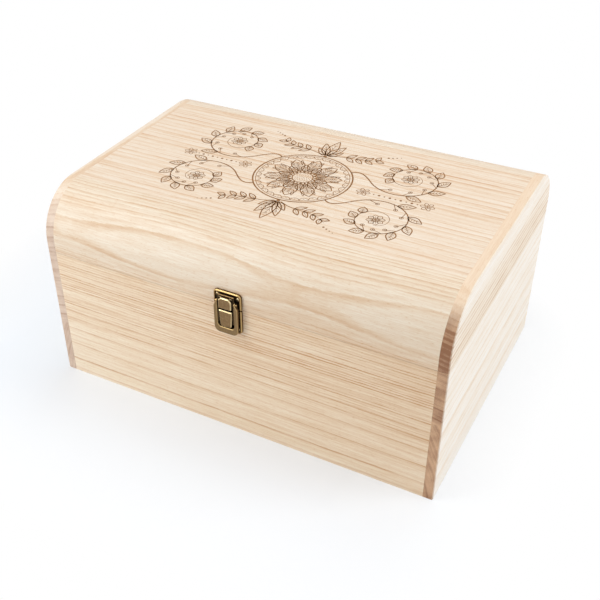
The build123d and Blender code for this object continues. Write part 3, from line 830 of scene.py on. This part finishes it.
def bronze(name, hollow, face, rubbed_and_highlit, proud, bright_edge_width):
    """Antique bronze: near black in its hollows, brushed on its faces, and bright on its edges with
    rubbed wear and a painted highlight.
    """
    s = Shader(name)
    mm = s.millimetres()
    x, y, z = s.split(mm)
    cloud = s.noise(mm, scale=0.5, detail=4.0, roughness=0.6)
    speck = s.noise(mm, scale=2.6, detail=3.0, roughness=0.7)
    across = s.math("MULTIPLY", x, BRUSH_ACROSS)
    along = s.math("MULTIPLY", z, BRUSH_ALONG)
    brushed = s.noise(s.combine(across, y, along), detail=3.0)
    soft = s.add("ShaderNodeBevel", {"Radius": bright_edge_width * MM}, samples=8)
    outward, upward = s.normal()[1:]
    facing = s.math("ABSOLUTE", outward)

    over_wood = s.math("SUBTRACT", s.math("ABSOLUTE", y), HALF_DEPTH / MM)
    side_wall = s.remap(facing, 0.3, 0.1, high=0.55)
    raised = s.math("MAXIMUM", s.remap(over_wood, *proud), side_wall)
    # Edges that face upwards are brightened more: painted light from above.
    lit_from_above = s.remap(upward, -0.6, 0.6, low=0.3)
    edge = s.math("MAXIMUM", sharp_edge(s, soft), bevelled(s, facing))
    # The bright edge colour is partly rubbed wear and partly a painted highlight where the edges
    # catch light.
    worn_and_highlit = s.math("MULTIPLY", edge, s.math("MULTIPLY", raised, lit_from_above))
    worn_and_highlit = s.vary(s.vary(worn_and_highlit, cloud, 0.5), brushed, 0.5)
    worn_and_highlit = s.vary(worn_and_highlit, speck, 0.3, clamp=True)
    grime = s.vary(s.vary(raised, cloud, 0.7), brushed, 0.9, clamp=True)
    colour = s.mix(worn_and_highlit, s.mix(grime, hollow, face), rubbed_and_highlit)
    rough = s.math("MULTIPLY_ADD", worn_and_highlit, -0.16, 0.48)
    bumps = s.bumps(speck, strength=0.3, rise=0.08, Normal=soft)
    s.surface(colour, rough, bumps, metallic=1.0)
    return s.material


def sharp_edge(s, soft):
    """1 where the surface turns sharply, so that its normal leaves the softened one."""
    flat = s.add("ShaderNodeNewGeometry", {}, "Normal")
    turn = s.add("ShaderNodeVectorMath", {0: flat, 1: soft}, "Value", operation="DOT_PRODUCT")
    return s.remap(turn, 0.995, 0.88)


def bevelled(s, facing):
    """1 on faces that slope between facing outwards and facing aside."""
    sloping = s.remap(facing, 0.93, 0.8)
    steep = s.remap(facing, 0.25, 0.45)
    return s.math("MULTIPLY", sloping, steep)


def nail_metal():
    """A nail whose crown is dark and whose rim is rubbed bright."""
    s = Shader("bronze_nail")
    outward = s.normal()[1]
    crown = s.remap(s.math("ABSOLUTE", outward), 0.975, 0.995)
    speck = s.noise(s.millimetres(), scale=2.2, detail=3.0)
    colour = s.mix(s.vary(crown, speck, 0.5, clamp=True), CREAM, BLACKENED)
    bumps = s.bumps(speck, strength=0.3, rise=0.05)
    s.surface(colour, roughness=0.34, normal=bumps, metallic=1.0)
    return s.material


def make_metals():
    metals = {key: bronze("bronze_" + key, **finish) for key, finish in BRONZES.items()}
    metals["nail"] = nail_metal()
    return metals


METAL_OF_NODE = {
    "latch_base_plate": "plate",
    "latch_keeper_plate": "plate",
    "latch_lever": "lever",
    "latch_keeper_hook": "face",
    "latch_link_tongue": "face",
    "latch_link_loop": "loop",
    "latch_base_nails": "nail",
    "latch_keeper_nails": "nail",
    "latch_pivot_pins": "pin",
    "latch_link_pins": "pin",
    "hinge_base_leaf_left": "plate",
    "hinge_base_leaf_right": "plate",
    "hinge_lid_leaf_left": "plate",
    "hinge_lid_leaf_right": "plate",
    "hinge_pin_left": "pin",
    "hinge_pin_right": "pin",
    "hinge_base_nails": "nail",
    "hinge_lid_nails": "nail",
}


def paint(materials, of_node):
    for node, key in of_node.items():
        for slot in NODES[node].material_slots:
            slot.material = materials[key]


# ---- stage ----
def make_world():
    """White where it shows, and dimmer where it lights the box."""
    world = bpy.data.worlds.new("studio")
    world.use_nodes = True
    s = Nodes(world.node_tree)
    level = s.add("ShaderNodeMix", {0: s.seen(), 2: SKY_LEVEL, 3: 1.0})
    background = s.add("ShaderNodeBackground", {"Color": WHITE, "Strength": level})
    s.show("ShaderNodeOutputWorld", background)
    bpy.context.scene.world = world


def make_floor():
    """A white floor that shows the box's soft shadow, and turns to plain white away from the box."""
    s = Shader("floor_white")
    lit = s.add("ShaderNodeBsdfDiffuse", {"Color": FLOOR_COLOUR})
    plain = s.add("ShaderNodeEmission", {"Color": WHITE, "Strength": 1.0})
    x, y = s.split(s.metres())[:2]
    beside = beyond(s, x, FLOOR_LIT_CENTRE[0], HALF_WIDTH)
    before = beyond(s, y, FLOOR_LIT_CENTRE[1], HALF_DEPTH)
    away = s.math("SQRT", s.math("MULTIPLY_ADD", beside, beside, s.math("MULTIPLY", before, before)))
    plainness = s.remap(away, 0.0, FLOOR_LIT_REACH, low=1 - FLOOR_SHOWN_AS_LIT)
    share = s.math("MULTIPLY", s.seen(), plainness)
    s.show("ShaderNodeOutputMaterial", s.add("ShaderNodeMixShader", {0: share, 1: lit, 2: plain}))
    mesh = bpy.data.meshes.new("floor")
    form = bmesh.new()
    bmesh.ops.create_grid(form, x_segments=4, y_segments=4, size=FLOOR_SIZE / 2)
    form.to_mesh(mesh)
    form.free()
    mesh.materials.append(s.material)
    floor = bpy.data.objects.new("floor", mesh)
    bpy.context.collection.objects.link(floor)


def beyond(s, value, centre, half):
    """How far a value lies outside a range, which is given by its centre and half its width."""
    from_centre = s.math("ABSOLUTE", s.math("SUBTRACT", value, centre))
    return s.math("MAXIMUM", s.math("SUBTRACT", from_centre, half), 0.0)


def make_lamp(name, place, size, power):
    """A round soft light that faces the middle of the box."""
    lamp = bpy.data.lights.new(name, "AREA")
    lamp.shape = "DISK"
    lamp.size = size
    lamp.energy = power
    holder = bpy.data.objects.new(name, lamp)
    holder.location = place
    holder.rotation_euler = (LAMP_AIM - Vector(place)).to_track_quat("-Z", "Y").to_euler()
    holder.visible_camera = False
    bpy.context.collection.objects.link(holder)


def camera_matrix():
    azimuth = math.radians(CAMERA_AZIMUTH)
    elevation = math.radians(CAMERA_ELEVATION)
    roll = math.radians(CAMERA_ROLL)
    back = Vector((
        math.sin(azimuth) * math.cos(elevation),
        -math.cos(azimuth) * math.cos(elevation),
        math.sin(elevation),
    ))
    level_right = Vector((math.cos(azimuth), math.sin(azimuth), 0))
    level_up = back.cross(level_right)
    right = level_right * math.cos(roll) + level_up * math.sin(roll)
    up = level_up * math.cos(roll) - level_right * math.sin(roll)
    matrix = Matrix((right, up, back)).transposed().to_4x4()
    matrix.translation = CAMERA_TARGET + back * CAMERA_DISTANCE
    return matrix


def make_camera():
    lens = bpy.data.cameras.new("camera")
    lens.sensor_width = SENSOR_WIDTH
    lens.lens = FOCAL_PIXELS / PICTURE * SENSOR_WIDTH
    lens.shift_x = (PICTURE / 2 - CENTRE_PIXEL[0]) / PICTURE
    lens.shift_y = (CENTRE_PIXEL[1] - PICTURE / 2) / PICTURE
    lens.clip_start = CAMERA_CLIP_START
    camera = bpy.data.objects.new("camera", lens)
    camera.matrix_world = camera_matrix()
    bpy.context.collection.objects.link(camera)
    bpy.context.scene.camera = camera


bpy.context.scene.view_settings.view_transform = "Standard"
make_world()
make_floor()
for lamp_values in LAMPS:
    make_lamp(*lamp_values)
make_camera()
paint(make_woods(), WOOD_OF_NODE)
paint(make_metals(), METAL_OF_NODE)
make_engraving()
